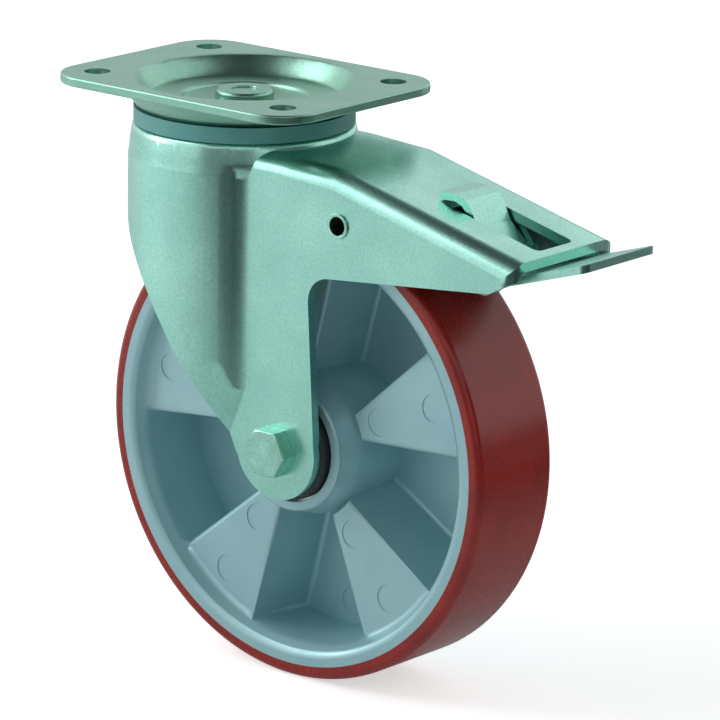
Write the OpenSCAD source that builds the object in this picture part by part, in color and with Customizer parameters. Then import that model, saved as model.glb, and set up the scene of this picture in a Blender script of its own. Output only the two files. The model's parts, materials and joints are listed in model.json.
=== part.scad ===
// Heavy swivel castor: pressed fork with a two-row ball race, die-cast wheel and a brake that also locks the swivel.
// The origin is the centre of the plate's top face, on the swivel axis. +X points to the pedal, +Z up.

/* [Top plate] */
// Length of the mounting plate
plate_l = 134; // [125:1:160]
// Width of the mounting plate
plate_w = 104; // [103:1:125]
// Thickness of the plate sheet
plate_t = 4; // [3:0.5:5]
// Corner radius of the plate
plate_corner_r = 19; // [8:1:22]
// Distance between the bolt holes along the plate
hole_pitch_l = 102; // [98:1:112]
// Distance between the bolt holes across the plate
hole_pitch_w = 70; // [68:1:82]
// Diameter of the bolt holes
hole_d = 11; // [8:0.5:13]
// Depth of the pressed dish
dish_depth = 7.8; // [6.4:0.2:8.6]
// Radius of the flat floor of the dish
dish_floor_r = 39.5; // [39:0.5:40]
// Depth of the coined step inside the dish
step_h = 1.4; // [0.4:0.2:2]

/* [Swivel head] */
// Diameter of the balls above the fork
upper_ball_d = 8; // [7:0.5:8.5]
// Radius of the circle of upper balls
upper_ball_r = 34; // [32:0.5:34.5]
// Number of upper balls
upper_balls_n = 24; // [12:1:24]
// Diameter of the balls under the fork
lower_ball_d = 6; // [5:0.5:6.5]
// Radius of the circle of lower balls
lower_ball_r = 21; // [20:0.5:22]
// Number of lower balls
lower_balls_n = 20; // [10:1:20]
// How deep each ball sits in its groove
groove_depth = 0.6; // [0.4:0.1:0.8]
// Diameter of the kingpin
kingpin_d = 16; // [12:1:18]
// Diameter of the kingpin's round head
kingpin_head_d = 24.5; // [22:0.5:30]
// Height of the kingpin's round head
kingpin_head_h = 4.2; // [2:0.2:5]
// Wall of the sleeve round the kingpin
sleeve_wall = 4; // [3:0.5:4.5]
// Outer radius of the notched locking ring
lock_ring_r = 34; // [33:0.5:35]
// Thickness of the locking ring
lock_ring_t = 4; // [3:0.5:5]
// Number of notches in the locking ring
notches_n = 24; // [12:4:24]
// Width of each notch
notch_w = 4.6; // [4.2:0.2:5]
// Outer radius of the seal ring
seal_r = 46.3; // [45:0.1:46.5]

/* [Fork] */
// Thickness of the fork sheet
sheet = 4; // [3:0.5:4.5]
// Width over the outside of the fork's legs
fork_w = 68; // [66:1:72]
// Outer radius of the round front of the fork
neck_r = 48.5; // [48:0.5:50]
// Radius of the outward bend at the crease
crease_out_r = 12; // [8:0.5:13]
// Radius of the inward bend at the crease
crease_in_r = 7; // [5:0.5:8]
// Drop from the neck's top to the flat crown
crown_drop = 2.6; // [2.4:0.1:5]
// Distance from the swivel axis to the first bend in the crown
crown_bend_x = 45; // [40:1:55]
// Slope of the crown between its two bends, in degrees
crown_slope = 3.6; // [1:0.2:5]
// Distance from the swivel axis to the bend in the hood
hood_bend_x = 77; // [70:1:80]
// Slope of the hood behind its bend, in degrees
hood_slope = 13.8; // [13:0.2:14.2]
// Distance from the swivel axis to the hood's end
hood_end_x = 169.5; // [168:0.5:176]
// Outer radius of the bends along the hood
hood_bend_r = 9; // [7:0.5:10]
// Length of the slot in the hood
slot_l = 50; // [46:1:51]
// Width of the slot in the hood
slot_w = 23.5; // [23:0.5:28]
// Distance from the slot's rear end to the hood's end
slot_tail = 4.5; // [4:0.5:7]
// Radius of the round end of each leg
leg_r = 21; // [18:0.5:24]
// Drop of the side wall below the crown, beside the leg
wall_drop_front = 47.5; // [44:0.5:50]
// Drop of the side wall below the crown, at its rear end
wall_drop_rear = 38; // [36:0.5:40]

/* [Wheel] */
// Total height from the plate's top to the floor
total_h = 245; // [230:1:260]
// Distance from the swivel axis to the axle
trail = 48; // [46:0.5:50]
// Height from the wheel's top to the plate's top
head_room = 45; // [44:1:49]
// Width of the wheel
wheel_w = 48; // [44:1:50]
// Thickness of the tread
tread_t = 5.7; // [4:0.1:7]
// Radius of the tread's edges
tread_edge_r = 3.5; // [2:0.5:4]
// Width of the flat ring round the rim
rim_ring_w = 6; // [4:0.5:8]
// Number of raised panels on each side
panels_n = 5; // [4:1:6]
// Depth of the raised panels below the rim's face
panel_recess = 7; // [6:0.5:9]
// Thickness of the cast walls
cast_wall = 4.6; // [4:0.2:5.4]
// Outer radius of the hub
hub_r = 27.5; // [26.5:0.5:29]
// Inner radius of the raised panels
panel_in_r = 33; // [32:0.5:36]
// Angle of the first raised panel on the front, in degrees
panel_turn = 21.6; // [0:0.2:72]

/* [Bearings and axle] */
// Outer diameter of the ball bearings
bearing_d = 47; // [44:1:47]
// Bore of the ball bearings
bearing_bore = 20; // [17:1:20]
// Width of the ball bearings
bearing_w = 14; // [11:1:15]
// Diameter of the bearing balls
bearing_ball_d = 7.6; // [6:0.2:8]
// Number of balls in each bearing
bearing_balls_n = 8; // [6:1:9]
// Diameter of the axle bolt
bolt_d = 12; // [10:1:14]
// Width across flats of the bolt head and nut
hex_af = 19; // [17:1:22]
// Height of the bolt head
bolt_head_h = 7.5; // [6:0.5:9]
// Height of the axle nut
axle_nut_h = 11; // [9:0.5:13]
// Outer radius of the thread guards
guard_r = 22.5; // [20:0.5:25]

/* [Brake] */
// Distance from the swivel axis to the brake arm's pivots
pivot_x = 80.3; // [79:0.1:82]
// Depth of the brake arm's pivots below the plate
pivot_drop = 44.5; // [44:0.1:45]
// Diameter of the hollow rivets' shanks
rivet_d = 9.4; // [8.4:0.2:10]
// Bore through the hollow rivets
rivet_bore = 7.8; // [6:0.2:7.8]
// Thickness of the brake arm's sheet
arm_t = 3; // [2.5:0.1:3.4]
// Tilt of the brake arm from free to locked, in degrees
arm_tilt = 4; // [3:0.2:4]
// Gap between the pad and the tread when the brake is on
pad_gap = 0.3; // [0.2:0.1:1]
// Half the width of the brake pad
pad_half_w = 19; // [14:1:22]
// Thickness of the pedal's sheet
pedal_t = 3.2; // [2.6:0.1:3.6]
// Width of the pedal's tread
pedal_w = 46; // [44:1:53]
// Width of the release tab
tab_w = 21; // [18:0.5:22]
// Distance from the swivel axis to the pedal's tip
pedal_tip_x = 197.5; // [186:0.5:206]
// Rise of the pedal, in degrees
pedal_rise = 17.4; // [17:0.1:18]
// Diameter of the pedal's pin
pedal_pin_d = 6; // [5:0.5:6.5]

/* [Hidden] */

$fn = 96;

// Clearances
run_gap = 0.05;
slip_gap = 0.1;
loose_gap = 0.4;
past = 1;

// Levels of the swivel head, from the plate down
floor_z = -dish_depth;
dish_under_z = floor_z - plate_t;
neck_top_z = dish_under_z - upper_ball_d + 2 * groove_depth;
disc_under_z = neck_top_z - sheet;
ring_top_z = disc_under_z - lower_ball_d + 2 * groove_depth;
ring_under_z = ring_top_z - lock_ring_t;
upper_ball_z = (dish_under_z + neck_top_z) / 2;
lower_ball_z = (disc_under_z + ring_top_z) / 2;
washer_t = 2.5;
pin_tip = 2;
pin_washer_rim = 7;
pin_washer_z = ring_under_z - washer_t;
pin_nut_h = 8;
pin_nut_z = pin_washer_z - pin_nut_h;
pin_end_z = pin_nut_z - pin_tip;
pin_nut_af = 24;
sleeve_r = kingpin_d / 2 + sleeve_wall;
notch_in_r = lower_ball_r + lower_ball_d / 2 + 2.5;
crown_z = neck_top_z - crown_drop;
hood_bend_z = crown_z - (hood_bend_x - crown_bend_x) * tan(crown_slope);

// Fork
side_y = fork_w / 2;
wall_y = side_y - sheet;
wheel_d = total_h - head_room;
wheel_r = wheel_d / 2;
axle_z = -(total_h - wheel_r);
crease_turn = 62;
crease_out_c = (neck_r - crease_out_r) * [cos(crease_turn), sin(crease_turn)];
crease_in_y = side_y + crease_in_r;
crease_reach = crease_out_r + crease_in_r;
crease_in_x = crease_out_c.x + sqrt(pow(crease_reach, 2) - pow(crease_in_y - crease_out_c.y, 2));
crease_meet = atan2(crease_in_y - crease_out_c.y, crease_in_x - crease_out_c.x);
shoulder_r = neck_r - 1.4;
drum_z = crown_z - 0.4;
front_curve_c = [trail - 303, axle_z - 130];
front_curve_r = norm([trail - leg_r, axle_z - 5] - front_curve_c);
leg_top_x = trail + leg_r - 4.5;
wall_fillet_r = 11;
wall_front_z = crown_z - wall_drop_front;
wall_rear_z = crown_z - wall_drop_rear;
wall_end_drop = 5;
hood_corner_r = 6;
hood_bend_over = 0.15;
slot_corner_r = 3;

// Wheel
wheel_y = wheel_w / 2;
rim_r = wheel_r - tread_t;
rim_in_r = rim_r - rim_ring_w;
rim_draft = 3.5;
panel_y = wheel_y - panel_recess;
floor_y = panel_y - cast_wall;
panel_out_r = rim_in_r - rim_draft;
flank_r = panel_in_r - 2;
panel_step = 360 / panels_n;
panel_apex = 15.7;
panel_half = 18.7;
hub_y = wheel_y + 2;
panel_end_drop = 3.5;
wall_draft = 8;
wall_lean = 2 * panel_y * tan(wall_draft);
mark_r = 6;
mark_depth = 0.4;
mark_reach = [panel_in_r + 11.5, panel_out_r - 9.8];

// Bearings and axle
bearing_y = wheel_y - bearing_w;
bolt_r = bolt_d / 2;
race_mid_r = (bearing_d + bearing_bore) / 4;
race_t = 3.3;
hub_shoulder = 2.5;
shield_t = 0.8;
bolt_tip = 2.5;

// Brake
pivot = [pivot_x, -pivot_drop];
axle = [trail, axle_z];
rivet_flange = 0.55;
cheek_out_y = wall_y - 0.8;
cheek_in_y = cheek_out_y - arm_t;
cheek_r = 8;
flange_in_y = slot_w / 2 + 0.65;
flange_out_y = flange_in_y + arm_t;
ear_in_y = flange_out_y + loose_gap;
ear_out_y = ear_in_y + arm_t;
hinge_reach = 63.3;
hinge_drop = 15.1;
hinge = pivot + [hinge_reach, -hinge_drop];
eye_wall = 2.4;
eye_r = pedal_pin_d / 2 + eye_wall;
nose_r = 3.6;
nose_reach = 16.3;
nose_turn = 124.2;
nose = hinge + nose_reach * [cos(nose_turn), sin(nose_turn)];
pedal_v_reach = 7.9;
pedal_v_rise = 2.65;
pedal_v = hinge + [pedal_v_reach, pedal_v_rise];
web_run = 18;
web_rise = 16.15;
pedal_fold = pedal_v + [-web_run, web_rise];
tab_rise = 12.5;
tab_reach = 19.5;
pedal_end = pedal_v + (pedal_tip_x - pedal_v.x) * [1, tan(pedal_rise)];
neck_share = 0.58;
pedal_neck = pedal_fold + neck_share * (pedal_v - pedal_fold);
arm_web_l = 58;
arm_web_over = 7.5;
arm_web_under = 13.5;
web_top = [hood_bend_x, pivot.y + arm_web_over];
web_end = [hood_bend_x + arm_web_l, pivot.y - arm_web_under];
ear_from_x = web_end.x - 19;
arm_join_x = web_end.x - 30;
spring_half_w = 5;
spring_foot = 6;
spring_heel = 14;
spring_toe = 30;
tooth_x = 28;
tooth_l = 5.5;
tooth_w = 3.4;
tooth_gap = 0.6;
tongue_w = 16;
pad_x = 92;
pad_l = 22;
pad_rivet_x = [pad_x + 5, pad_x + 17];
free_axle = turned(axle, pivot, -arm_tilt);

function arc(centre, radius, from, to, steps) =
    [for (i = [0:steps]) centre + radius * [cos(from + (to - from) * i / steps), sin(from + (to - from) * i / steps)]];
function flipped(points) = [for (i = [len(points) - 1:-1:0]) [points[i].x, -points[i].y]];
function turned(point, centre, angle) = centre + [
    (point.x - centre.x) * cos(angle) + (point.y - centre.y) * sin(angle),
    -(point.x - centre.x) * sin(angle) + (point.y - centre.y) * cos(angle)
];
function web_z(x) = web_top.y + (x - web_top.x) * (web_end.y - web_top.y) / (web_end.x - web_top.x);
// Points of a bent strip of even thickness, along its top and back along its underside
function bisector(a, b, c) =
    let (u = (b - a) / norm(b - a), v = (c - b) / norm(c - b), m = [-(u.y + v.y), u.x + v.x])
    m / (1 + u * v);
function strip(top, t) = concat(top, [for (i = [len(top) - 1:-1:0]) top[i] - t * (
    i == 0 ? bisector(top[0], top[1], 2 * top[1] - top[0]) :
    i == len(top) - 1 ? bisector(2 * top[i - 1] - top[i], top[i - 1], top[i]) :
    bisector(top[i - 1], top[i], top[i + 1]))]);

// Stands a drawing of X and Z up, between two Y values
module side_plate(y_from, y_to) {
    translate([0, y_to, 0])
        rotate([90, 0, 0])
            linear_extrude(height = y_to - y_from)
                children();
}
module both_sides() {
    children();
    mirror([0, 1, 0])
        children();
}
// Lays a wheel-shaped solid on the axle, its first side towards -Y
module on_axle() {
    translate([trail, 0, axle_z])
        rotate([90, 0, 0])
            children();
}
module hex_2d(af) {
    circle(d = af / cos(30), $fn = 6);
}

// Swivel head
module top_plate() {
    lip_r = dish_floor_r + 6.5;
    color("#8fb5a2")
        difference() {
            union() {
                translate([0, 0, -plate_t])
                    linear_extrude(height = plate_t)
                        plate_2d();
                rotate_extrude()
                    polygon([
                        [0, -1], [lip_r + 5.4, -1], [lip_r + 4.4, -plate_t - 0.2], [lip_r + 2.7, -plate_t - 2.6],
                        [lip_r - 0.4, dish_under_z + 0.9], [lip_r - 1.6, dish_under_z], [0, dish_under_z]
                    ]);
            }
            rotate_extrude()
                polygon([
                    [0, past], [lip_r + 1.5, past], [lip_r + 0.9, 0], [lip_r - 0.6, -0.8], [dish_floor_r + 1.4, floor_z + 1],
                    [dish_floor_r, floor_z], [dish_floor_r - 13, floor_z], [dish_floor_r - 13.7, floor_z - step_h],
                    [0, floor_z - step_h]
                ]);
            translate([0, 0, dish_under_z - past])
                cylinder(d = kingpin_d + 2 * slip_gap, h = plate_t + 2 * past);
            ball_groove(upper_ball_r, upper_ball_z, upper_ball_d);
        }
}
module plate_2d() {
    difference() {
        intersection() {
            square([plate_l, plate_w], center = true);
            plate_corners();
        }
        for (x = [-1, 1])
            for (y = [-1, 1])
                translate([x * hole_pitch_l / 2, y * hole_pitch_w / 2])
                    circle(d = hole_d);
    }
}
module plate_corners() {
    half = [plate_l / 2 - plate_corner_r, plate_w / 2 - plate_corner_r];
    polygon(concat(
        arc(half, plate_corner_r, 0, 90, 12),
        arc([-half.x, half.y], plate_corner_r, 90, 180, 12),
        arc(-half, plate_corner_r, 180, 270, 12),
        arc([half.x, -half.y], plate_corner_r, 270, 360, 12)
    ));
}
module ball_groove(at_r, at_z, ball_d) {
    rotate_extrude()
        translate([at_r, at_z])
            circle(d = ball_d + 2 * run_gap, $fn = 48);
}
module ball_ring(at_r, at_z, ball_d, n) {
    for (i = [0:n - 1])
        rotate([0, 0, i * 360 / n])
            translate([at_r, 0, at_z])
                sphere(d = ball_d, $fn = 32);
}
module kingpin() {
    head_z = floor_z - step_h;
    color("#9ccfbf")
        difference() {
            union() {
                rotate_extrude()
                    polygon([
                        [0, head_z + kingpin_head_h], [kingpin_head_d / 2 - 1, head_z + kingpin_head_h],
                        [kingpin_head_d / 2, head_z + kingpin_head_h - 1], [kingpin_head_d / 2, head_z], [0, head_z]
                    ]);
                translate([0, 0, pin_end_z])
                    cylinder(d = kingpin_d, h = head_z + 1 - pin_end_z);
            }
            translate([0, 0, head_z + kingpin_head_h - 0.8])
                cylinder(d = 11, h = past + 1);
        }
}
module kingpin_sleeve() {
    color("#8a9a98")
        rotate_extrude()
            polygon([
                [kingpin_d / 2 + slip_gap, dish_under_z], [sleeve_r, dish_under_z],
                [sleeve_r, ring_top_z], [kingpin_d / 2 + slip_gap, ring_top_z]
            ]);
}
module upper_balls() {
    color("#c9ced0")
        ball_ring(upper_ball_r, upper_ball_z, upper_ball_d, upper_balls_n);
}
module lower_balls() {
    color("#c9ced0")
        ball_ring(lower_ball_r, lower_ball_z, lower_ball_d, lower_balls_n);
}
module lock_ring() {
    color("#7d8b8a")
        difference() {
            translate([0, 0, ring_under_z])
                cylinder(r = lock_ring_r, h = lock_ring_t);
            translate([0, 0, ring_under_z - past])
                cylinder(d = kingpin_d + 2 * slip_gap, h = lock_ring_t + 2 * past);
            for (i = [0:notches_n - 1])
                rotate([0, 0, i * 360 / notches_n])
                    translate([notch_in_r, -notch_w / 2, ring_under_z - past])
                        cube([lock_ring_r, notch_w, lock_ring_t + 2 * past]);
            ball_groove(lower_ball_r, lower_ball_z, lower_ball_d);
        }
}
module kingpin_washer() {
    color("#9ccfbf")
        difference() {
            translate([0, 0, pin_washer_z])
                cylinder(d = kingpin_d + 2 * pin_washer_rim, h = washer_t);
            translate([0, 0, pin_washer_z - past])
                cylinder(d = kingpin_d + 2 * slip_gap, h = washer_t + 2 * past);
        }
}
module kingpin_nut() {
    color("#9ccfbf")
        difference() {
            translate([0, 0, pin_nut_z])
                linear_extrude(height = pin_washer_z - pin_nut_z)
                    hex_2d(pin_nut_af);
            translate([0, 0, pin_nut_z - past])
                cylinder(d = kingpin_d + 2 * slip_gap, h = pin_washer_z - pin_nut_z + 2 * past);
        }
}
module swivel_seal() {
    top_z = dish_under_z - loose_gap;
    color("#527a80")
        rotate_extrude()
            polygon([
                [seal_r, neck_top_z], [seal_r, top_z + 0.6], [seal_r - 0.6, top_z], [seal_r - 4, top_z],
                [seal_r - 4, top_z - 1.5], [seal_r - 3, top_z - 2.5], [seal_r - 3, neck_top_z]
            ]);
}

// Fork
module fork() {
    color("#9ccfbf")
        difference() {
            intersection() {
                difference() {
                    fork_body(0);
                    fork_body(sheet);
                }
                side_plate(-neck_r - past, neck_r + past)
                    fork_side_2d();
            }
            translate([0, 0, disc_under_z - 2 * past])
                cylinder(r = sleeve_r + past, h = sheet + 4 * past);
            ball_groove(upper_ball_r, upper_ball_z, upper_ball_d);
            ball_groove(lower_ball_r, lower_ball_z, lower_ball_d);
            translate([hood_end_x - slot_tail - slot_l, 0, axle_z])
                linear_extrude(height = -axle_z)
                    slot_2d();
            on_axle()
                cylinder(r = bolt_r + slip_gap, h = 2 * side_y + 2 * past, center = true);
            translate([pivot.x, 0, pivot.y])
                rotate([90, 0, 0])
                    cylinder(d = rivet_d + 2 * slip_gap, h = 2 * side_y + 2 * past, center = true);
        }
}
// The solid inside one face of the sheet, t below the outer face
module fork_body(t) {
    intersection() {
        translate([0, 0, axle_z - 2 * leg_r])
            linear_extrude(height = -axle_z + 2 * leg_r)
                fork_plan_2d(t);
        union() {
            neck_limit(t);
            intersection() {
                channel(t);
                sloped(crown_bend_x, crown_z, crown_slope)
                    channel(t);
                sloped(hood_bend_x, hood_bend_z, hood_slope)
                    translate([0, 0, hood_bend_z - crown_z])
                        channel(t);
            }
        }
    }
    neck_drum(t);
}
module sloped(at_x, at_z, slope) {
    translate([at_x, 0, at_z])
        rotate([0, slope, 0])
            translate([-at_x, 0, -at_z])
                children();
}
module fork_plan_2d(t) {
    end = hood_end_x + (t > 0 ? past : 0);
    corner = t > 0 ? 0.1 : hood_corner_r;
    half = concat(
        arc([end - corner, side_y - t - corner], corner, 0, 90, 8),
        arc([crease_in_x, crease_in_y], crease_in_r + t, 270, 180 + crease_meet, 8),
        arc(crease_out_c, crease_out_r - t, crease_meet, crease_turn, 8),
        arc([0, 0], neck_r - t, crease_turn + 3, 180, 28)
    );
    polygon(concat(half, flipped(half)));
}
module neck_limit(t) {
    top = t > 0 ? disc_under_z - 1.4 : drum_z + 1.2;
    rotate_extrude()
        polygon([
            [0, top], [shoulder_r - t - 0.2, top], [neck_r - t - 0.2, crown_z - 10], [neck_r - t + 5, crown_z - 34],
            [neck_r - t + 2, axle_z + 50], [neck_r - t - 1, axle_z + 28], [neck_r - t - 7, axle_z + 4],
            [neck_r - t - 14, axle_z - leg_r - 2 * past], [0, axle_z - leg_r - 2 * past]
        ]);
}
// The round shoulder, which runs on over the top of each crease and fades into it
module neck_drum(t) {
    r = shoulder_r - t;
    low = drum_z - t * 0.3;
    rotate_extrude()
        polygon([
            [0, neck_top_z - t], [r - 2.2, neck_top_z - t], [r - 1, neck_top_z - t - 0.4], [r - 0.3, neck_top_z - t - 1.2],
            [r, drum_z - t * 0.8], [r + 0.7, low - 5], [r + 0.6, low - 7.5], [r - 0.2, low - 10.5],
            [r - 1.4, low - 13], [r - 3.4, low - 15.5], [r - 10, low - 20], [0, low - 20]
        ]);
}
// The crown and hood as an endless channel with rounded edges
module channel(t) {
    r = hood_bend_r + hood_bend_over - t;
    half = concat(
        [[side_y + hood_bend_over - t, axle_z - 3 * leg_r]],
        arc([side_y - hood_bend_r, crown_z - hood_bend_r - hood_bend_over], r, 0, 90, 10)
    );
    rotate([90, 0, 90])
        linear_extrude(height = hood_end_x + trail)
            translate([0, hood_bend_over])
                polygon(concat(half, [for (i = [len(half) - 1:-1:0]) [-half[i].x, half[i].y]]));
}
module fork_side_2d() {
    fillet_c = [leg_top_x + wall_fillet_r + 0.2, wall_front_z - wall_fillet_r + 1.2];
    polygon(concat(
        [[-neck_r - 20, past], [hood_end_x + 2 * past, past], [hood_end_x + 2 * past, wall_rear_z + 7],
            [hood_end_x - 11.5, wall_rear_z]],
        arc(fillet_c, wall_fillet_r, 96, 182, 8),
        arc(axle, leg_r, 12, -166, 24),
        arc(front_curve_c, front_curve_r, 24, 53, 18)
    ));
}
module slot_2d() {
    half = slot_w / 2 - slot_corner_r;
    points = concat(
        arc([slot_l - slot_corner_r, half], slot_corner_r, 0, 90, 6),
        arc([slot_corner_r, half], slot_corner_r, 90, 180, 6)
    );
    polygon(concat(points, flipped(points)));
}

// Brake
module pivot_rivets() {
    color("#8fb5a2")
        both_sides()
            rotate_pivot()
                difference() {
                    rotate_extrude()
                        polygon([
                            [0, cheek_in_y - rivet_flange], [rivet_d / 2 + 1, cheek_in_y - rivet_flange],
                            [rivet_d / 2 + 1, cheek_in_y - 0.05], [rivet_d / 2, cheek_in_y - 0.05], [rivet_d / 2, side_y],
                            [rivet_d / 2 + 0.7, side_y], [rivet_d / 2 + 0.5, side_y + 0.9], [0, side_y + 0.9]
                        ]);
                    cylinder(d = rivet_bore, h = 3 * side_y, center = true);
                }
}
module rotate_pivot() {
    translate([pivot.x, 0, pivot.y])
        rotate([90, 0, 0])
            children();
}
module brake_arm() {
    tooth_top = ring_under_z - tooth_gap;
    tongue_z = web_top.y + 1;
    color("#6f8480")
        difference() {
            union() {
                side_plate(-cheek_out_y, cheek_out_y)
                    polygon(strip([web_top, [arm_join_x, web_z(arm_join_x)]], arm_t));
                side_plate(-ear_out_y, ear_out_y)
                    polygon(strip([[arm_join_x - 5, web_z(arm_join_x - 5)], web_end], arm_t));
                side_plate(-tongue_w / 2, tongue_w / 2)
                    polygon(strip([[tooth_x, tongue_z], [web_top.x - 4, tongue_z], [web_top.x + 8, web_z(web_top.x + 8)]], arm_t));
                side_plate(-tooth_w / 2, tooth_w / 2)
                    polygon([
                        [tooth_x, tongue_z - arm_t + 0.5], [tooth_x + tooth_l + 2, tongue_z - arm_t + 0.5],
                        [tooth_x + tooth_l, tooth_top], [tooth_x, tooth_top]
                    ]);
                both_sides()
                    side_plate(cheek_in_y, cheek_out_y)
                        cheek_2d();
                both_sides()
                    side_plate(ear_in_y, ear_out_y)
                        ear_2d();
            }
            rotate_pivot()
                cylinder(d = rivet_d + 2 * run_gap, h = 2 * side_y, center = true);
            both_sides()
                rotate_pivot()
                    translate([0, 0, cheek_in_y - rivet_flange - loose_gap])
                        cylinder(r = rivet_d / 2 + 1 + loose_gap, h = rivet_flange + loose_gap);
            hinge_bore(slip_gap);
            for (x = pad_rivet_x)
                pad_rivet_place(x)
                    cylinder(d = 5 + 2 * slip_gap, h = 40, center = true);
        }
}
module cheek_2d() {
    translate(pivot)
        circle(r = cheek_r);
    polygon([
        [web_top.x, web_top.y - 0.4], [arm_join_x, web_z(arm_join_x) - 0.4],
        [arm_join_x, web_z(arm_join_x) - arm_t - 1], [pad_x, pivot.y - cheek_r + 1],
        [pivot.x, pivot.y - cheek_r + 0.2], [web_top.x + 1, pivot.y - 3]
    ]);
}
module ear_2d() {
    translate(hinge)
        circle(r = eye_r);
    polygon([
        [ear_from_x, web_z(ear_from_x) - 0.4], [web_end.x, web_end.y - 0.4], hinge + eye_r * [cos(75), sin(75)],
        hinge + eye_r * [cos(255), sin(255)], [web_end.x - 8, web_end.y - arm_t - 1.2],
        [ear_from_x, web_z(ear_from_x) - arm_t - 0.4]
    ]);
}
module hinge_bore(gap) {
    translate([hinge.x, 0, hinge.y])
        rotate([90, 0, 0])
            cylinder(d = pedal_pin_d + 2 * gap, h = 2 * side_y, center = true);
}
module pad_rivet_place(x) {
    lean = atan((web_top.y - web_end.y) / (web_end.x - web_top.x));
    translate([x, 0, web_z(x)])
        rotate([0, lean, 0])
            children();
}
module brake_pad() {
    color("#3a3f40")
        difference() {
            side_plate(-pad_half_w, pad_half_w)
                difference() {
                    polygon([
                        [pad_x, web_z(pad_x) - pad_skin()], [pad_x + pad_l, web_z(pad_x + pad_l) - pad_skin()],
                        [pad_x + pad_l, axle_z], [pad_x, axle_z]
                    ]);
                    translate(free_axle)
                        circle(r = wheel_r + pad_gap, $fn = 180);
                }
            for (x = pad_rivet_x)
                pad_rivet_place(x)
                    cylinder(d = 5 + 2 * slip_gap, h = 2 * pad_skin() + 4, center = true);
        }
}
function pad_skin() = arm_t * norm(web_end - web_top) / (web_end.x - web_top.x);
module pad_rivets() {
    color("#b0a070")
        for (x = pad_rivet_x)
            pad_rivet_place(x) {
                cylinder(d = 9, h = 1.6);
                translate([0, 0, -arm_t - 1.5])
                    cylinder(d = 5, h = arm_t + 2);
            }
}
module return_spring() {
    low_z = web_top.y + 1.05;
    color("#a8b0b0")
        side_plate(-spring_half_w, spring_half_w)
            polygon(strip([
                [web_top.x - spring_foot, low_z + 0.8], [web_top.x - spring_heel, low_z + 0.8],
                [web_top.x - spring_heel - 4, low_z + 1.8],
                [web_top.x - spring_toe, crown_z - sheet - 1.4], [web_top.x - spring_toe - 4, crown_z - sheet - 1]
            ], 0.8 * -1));
}
module pedal_pin() {
    color("#b9c4c2")
        translate([hinge.x, 0, hinge.y])
            rotate([90, 0, 0])
                cylinder(d = pedal_pin_d, h = 2 * ear_out_y + 2, center = true);
}
module brake_pedal() {
    color("#9ccfbf")
        difference() {
            union() {
                side_plate(-tab_w / 2, tab_w / 2)
                    polygon(strip([
                        pedal_fold + [-tab_reach, tab_rise - 0.2], pedal_fold + [8 - tab_reach, tab_rise],
                        pedal_fold + [12.9 - tab_reach, tab_rise - 1.9], pedal_fold + [15.7 - tab_reach, tab_rise - 4.9],
                        pedal_fold, pedal_neck
                    ], pedal_t));
                side_plate(-flange_out_y, flange_out_y)
                    polygon(strip([pedal_neck - 0.02 * (pedal_v - pedal_fold), pedal_v, pedal_v + [3, 3 * tan(pedal_rise)]], pedal_t));
                intersection() {
                    side_plate(-pedal_w / 2, pedal_w / 2)
                        polygon(strip([pedal_v + [0.2, 0.2 * tan(pedal_rise)], pedal_end], pedal_t));
                    translate([0, 0, axle_z])
                        linear_extrude(height = -axle_z)
                            pedal_plan_2d();
                }
                both_sides()
                    side_plate(flange_in_y, flange_out_y)
                        flange_2d();
            }
            hinge_bore(run_gap);
        }
}
module pedal_plan_2d() {
    r = 3;
    half = arc([pedal_tip_x - r, pedal_w / 2 - r], r, 0, 90, 8);
    points = concat(half, [[hinge.x, pedal_w / 2]]);
    polygon(concat(points, flipped(points)));
}
module flange_2d() {
    translate(hinge)
        circle(r = eye_r);
    translate(nose)
        circle(r = nose_r);
    polygon([
        nose + nose_r * [cos(200), sin(200)], hinge + eye_r * [cos(205), sin(205)], hinge,
        pedal_v - [1.5, 2.2], pedal_neck - [1.2, 1.2], nose + nose_r * [cos(40), sin(40)]
    ]);
}

// Wheel
module wheel_centre() {
    color("#7fa3a6")
        on_axle()
            difference() {
                union() {
                    rotate_extrude()
                        wheel_rim_2d();
                    rotate_extrude()
                        wheel_hub_2d();
                    intersection() {
                        union() {
                            translate([0, 0, floor_y])
                                linear_extrude(height = cast_wall)
                                    panels_2d(0);
                            translate([0, 0, -panel_y])
                                linear_extrude(height = cast_wall)
                                    difference() {
                                        panel_ring_2d();
                                        panels_2d(wall_lean - cast_wall);
                                    }
                            panel_walls();
                        }
                        rotate_extrude()
                            panel_limit_2d();
                    }
                }
                for (i = [0:panels_n - 1])
                    rotate([0, 0, panel_turn + i * panel_step]) {
                        for (r = mark_reach)
                            translate([r, 0, panel_y - mark_depth])
                                cylinder(r = mark_r, h = past);
                        rotate([0, 0, panel_step / 2])
                            translate([mark_reach[1], 0, -floor_y - mark_depth])
                                cylinder(r = mark_r, h = past);
                    }
            }
}
module wheel_rim_2d() {
    polygon([
        [rim_r, wheel_y], [rim_in_r + 1, wheel_y], [rim_in_r, wheel_y - 1], [panel_out_r, panel_y - 1],
        [panel_out_r, -panel_y + 1], [rim_in_r, -wheel_y + 1], [rim_in_r + 1, -wheel_y], [rim_r, -wheel_y]
    ]);
}
module wheel_hub_2d() {
    seat_r = bearing_d / 2 + 0.02;
    in_r = bearing_d / 2 - hub_shoulder;
    half = [
        [in_r, bearing_y], [seat_r, bearing_y], [seat_r, hub_y], [hub_r - 0.8, hub_y], [hub_r, hub_y - 0.8],
        [hub_r, wheel_y], [flank_r, panel_y - panel_end_drop]
    ];
    polygon(concat(half, flipped(half)));
}
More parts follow.
